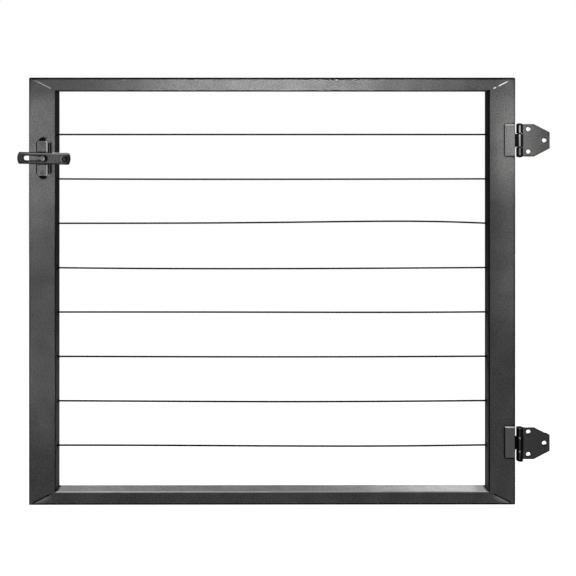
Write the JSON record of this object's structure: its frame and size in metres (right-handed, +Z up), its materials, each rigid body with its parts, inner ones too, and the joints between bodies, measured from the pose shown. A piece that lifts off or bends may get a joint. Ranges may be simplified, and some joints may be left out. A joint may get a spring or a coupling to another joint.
{
  "type": "cable railing gate",
  "caption": "Welded tube railing gate with taut wire rope infill, surface leaf hinges on one stile and a slotted bar latch on the other.",
  "frame": {"origin": "midway between the two screw holes beside the barrel of the lower post leaf, on its back face", "axes": "+X from the latch stile towards the hinges, +Y to the back of the gate, +Z up"},
  "size_m": [0.9921, 0.0543, 0.803],
  "materials": {
    "black_powder_coat": "fine-textured black powder coat, satin",
    "coated_wire_rope": "black oxide wire rope",
    "zinc_plated_steel": "bright zinc plate",
    "black_plastic": "moulded, fine satin",
    "black_rubber": "matt",
    "black_nylon": "turned, satin"
  },
  "bodies": {
    "post_leaves": {"upper_post_leaf": "black_powder_coat", "lower_post_leaf": "black_powder_coat", "upper_hinge_pin": "black_powder_coat", "lower_hinge_pin": "black_powder_coat"},
    "gate": {"latch_stile": "black_powder_coat", "hinge_stile": "black_powder_coat", "top_rail": "black_powder_coat", "bottom_rail": "black_powder_coat", "corner_welds": "black_powder_coat", "cable_1": "coated_wire_rope", "cable_2": "coated_wire_rope", "cable_3": "coated_wire_rope", "cable_4": "coated_wire_rope", "cable_5": "coated_wire_rope", "cable_6": "coated_wire_rope", "cable_7": "coated_wire_rope", "cable_8": "coated_wire_rope", "cable_stops": "zinc_plated_steel", "cable_studs": "zinc_plated_steel", "tension_nuts": "zinc_plated_steel", "latch_side_grommets": "black_plastic", "hinge_side_grommets": "black_plastic", "latch_side_plugs": "black_plastic", "hinge_side_plugs": "black_plastic", "upper_gate_leaf": "black_powder_coat", "lower_gate_leaf": "black_powder_coat", "latch_base": "black_rubber", "latch_plate": "black_powder_coat", "latch_screws": "black_powder_coat", "guide_stud": "black_powder_coat"},
    "latch_pivot": {"guide_bush": "black_nylon"},
    "latch_bar": {"latch_bar": "black_powder_coat", "latch_knob": "black_plastic", "knob_screw": "zinc_plated_steel"}
  },
  "joints": [
    {"name": "gate_swing", "type": "hinge", "parent": "post_leaves", "child": "gate", "pos_m": [-0.0176, -0.00605, 0], "axis": [0, 0, 1], "range_deg": [0, 180]},
    {"name": "latch_turn", "type": "hinge", "parent": "gate", "child": "latch_pivot", "pos_m": [-0.9015, -0.0138, 0.5336], "axis": [0, 1, 0], "continuous": true},
    {"name": "latch_slide", "type": "slide", "parent": "latch_pivot", "child": "latch_bar", "axis": [0.9998, 0, -0.0209], "range_m": [0, 0.035]}
  ]
}
